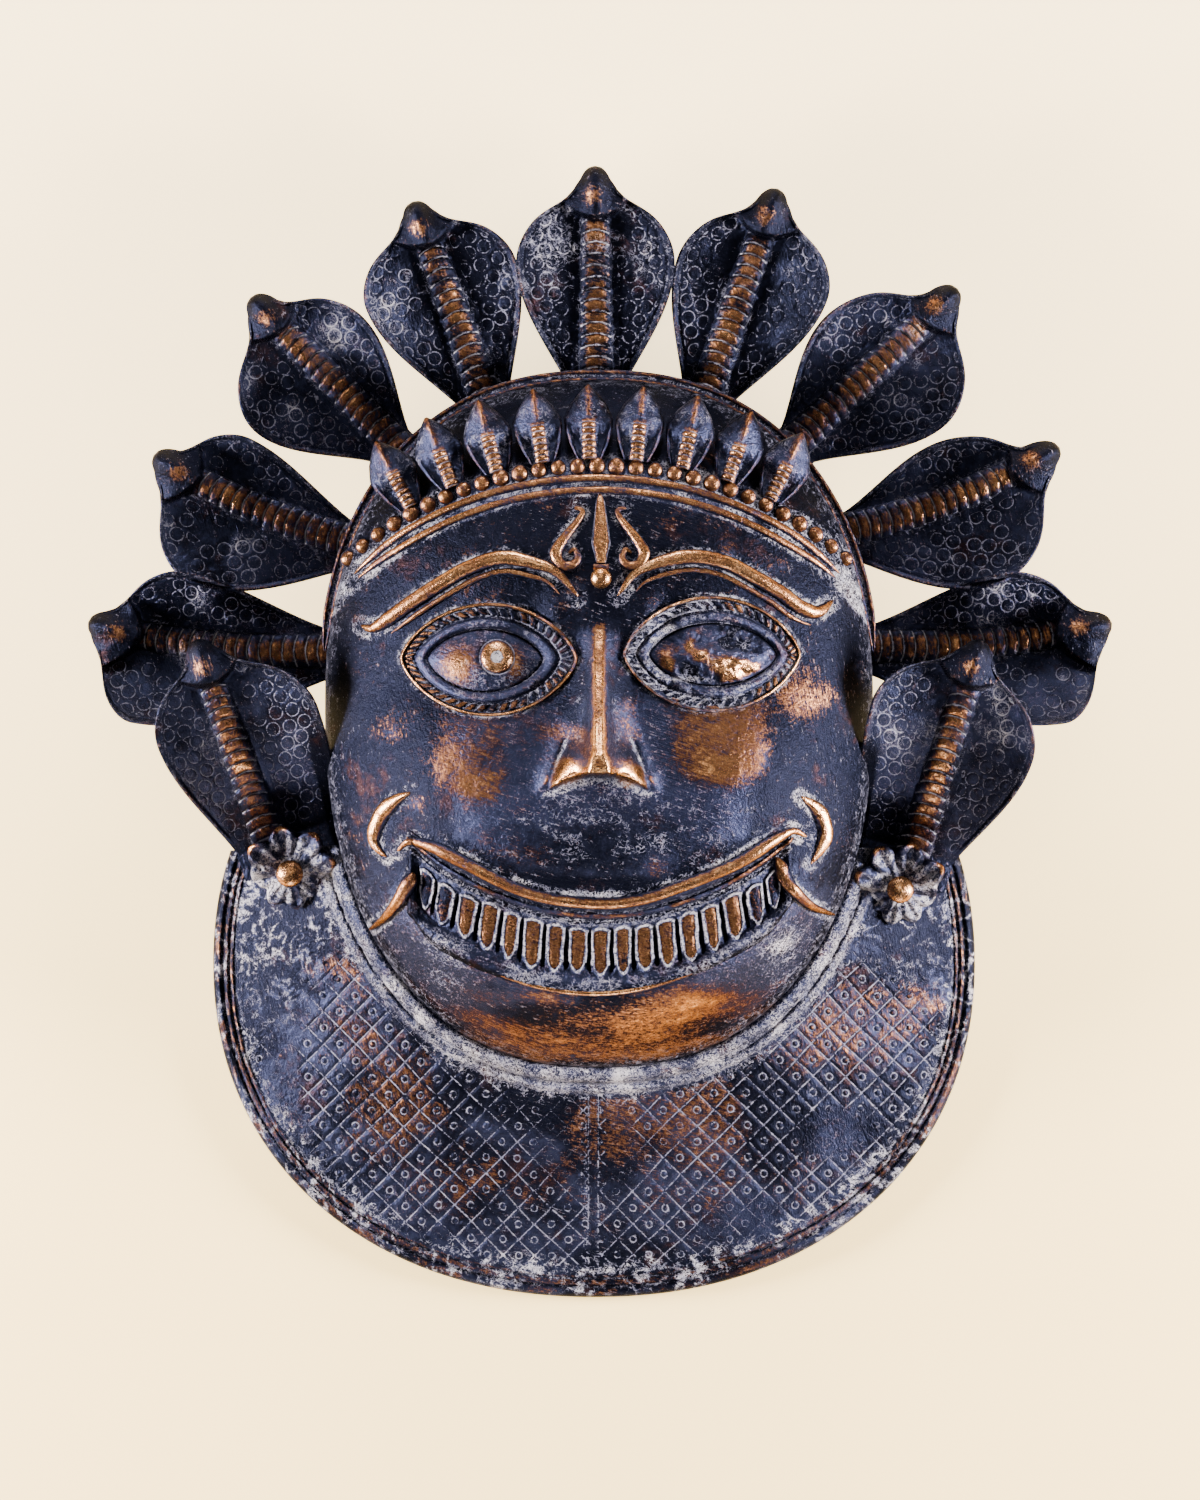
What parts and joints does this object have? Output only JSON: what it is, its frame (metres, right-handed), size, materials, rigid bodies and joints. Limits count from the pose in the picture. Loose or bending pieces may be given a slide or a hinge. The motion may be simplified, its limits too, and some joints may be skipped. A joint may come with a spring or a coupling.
{
  "type": "bronze deity mask",
  "caption": "Hollow cast bronze mask of a fanged, grinning deity with a fan of cobra hoods round the crown and a broad patterned bib under the chin. Lies on its open back.",
  "frame": {"origin": "middle of the mask's outline, on the plane that its back rim and the bib's rim rest on", "axes": "+X to the viewer's right, +Y from the bib to the crown, +Z out of the face; the mask lies on its back"},
  "size_m": [0.5156, 0.5691, 0.1536],
  "materials": {
    "patinated_bronze": "blue-black patina with pale chalky dust in the hollows and copper-brown bronze rubbed bright on ridges and edges"
  },
  "bodies": {
    "root": {"mask": "patinated_bronze"}
  },
  "joints": []
}
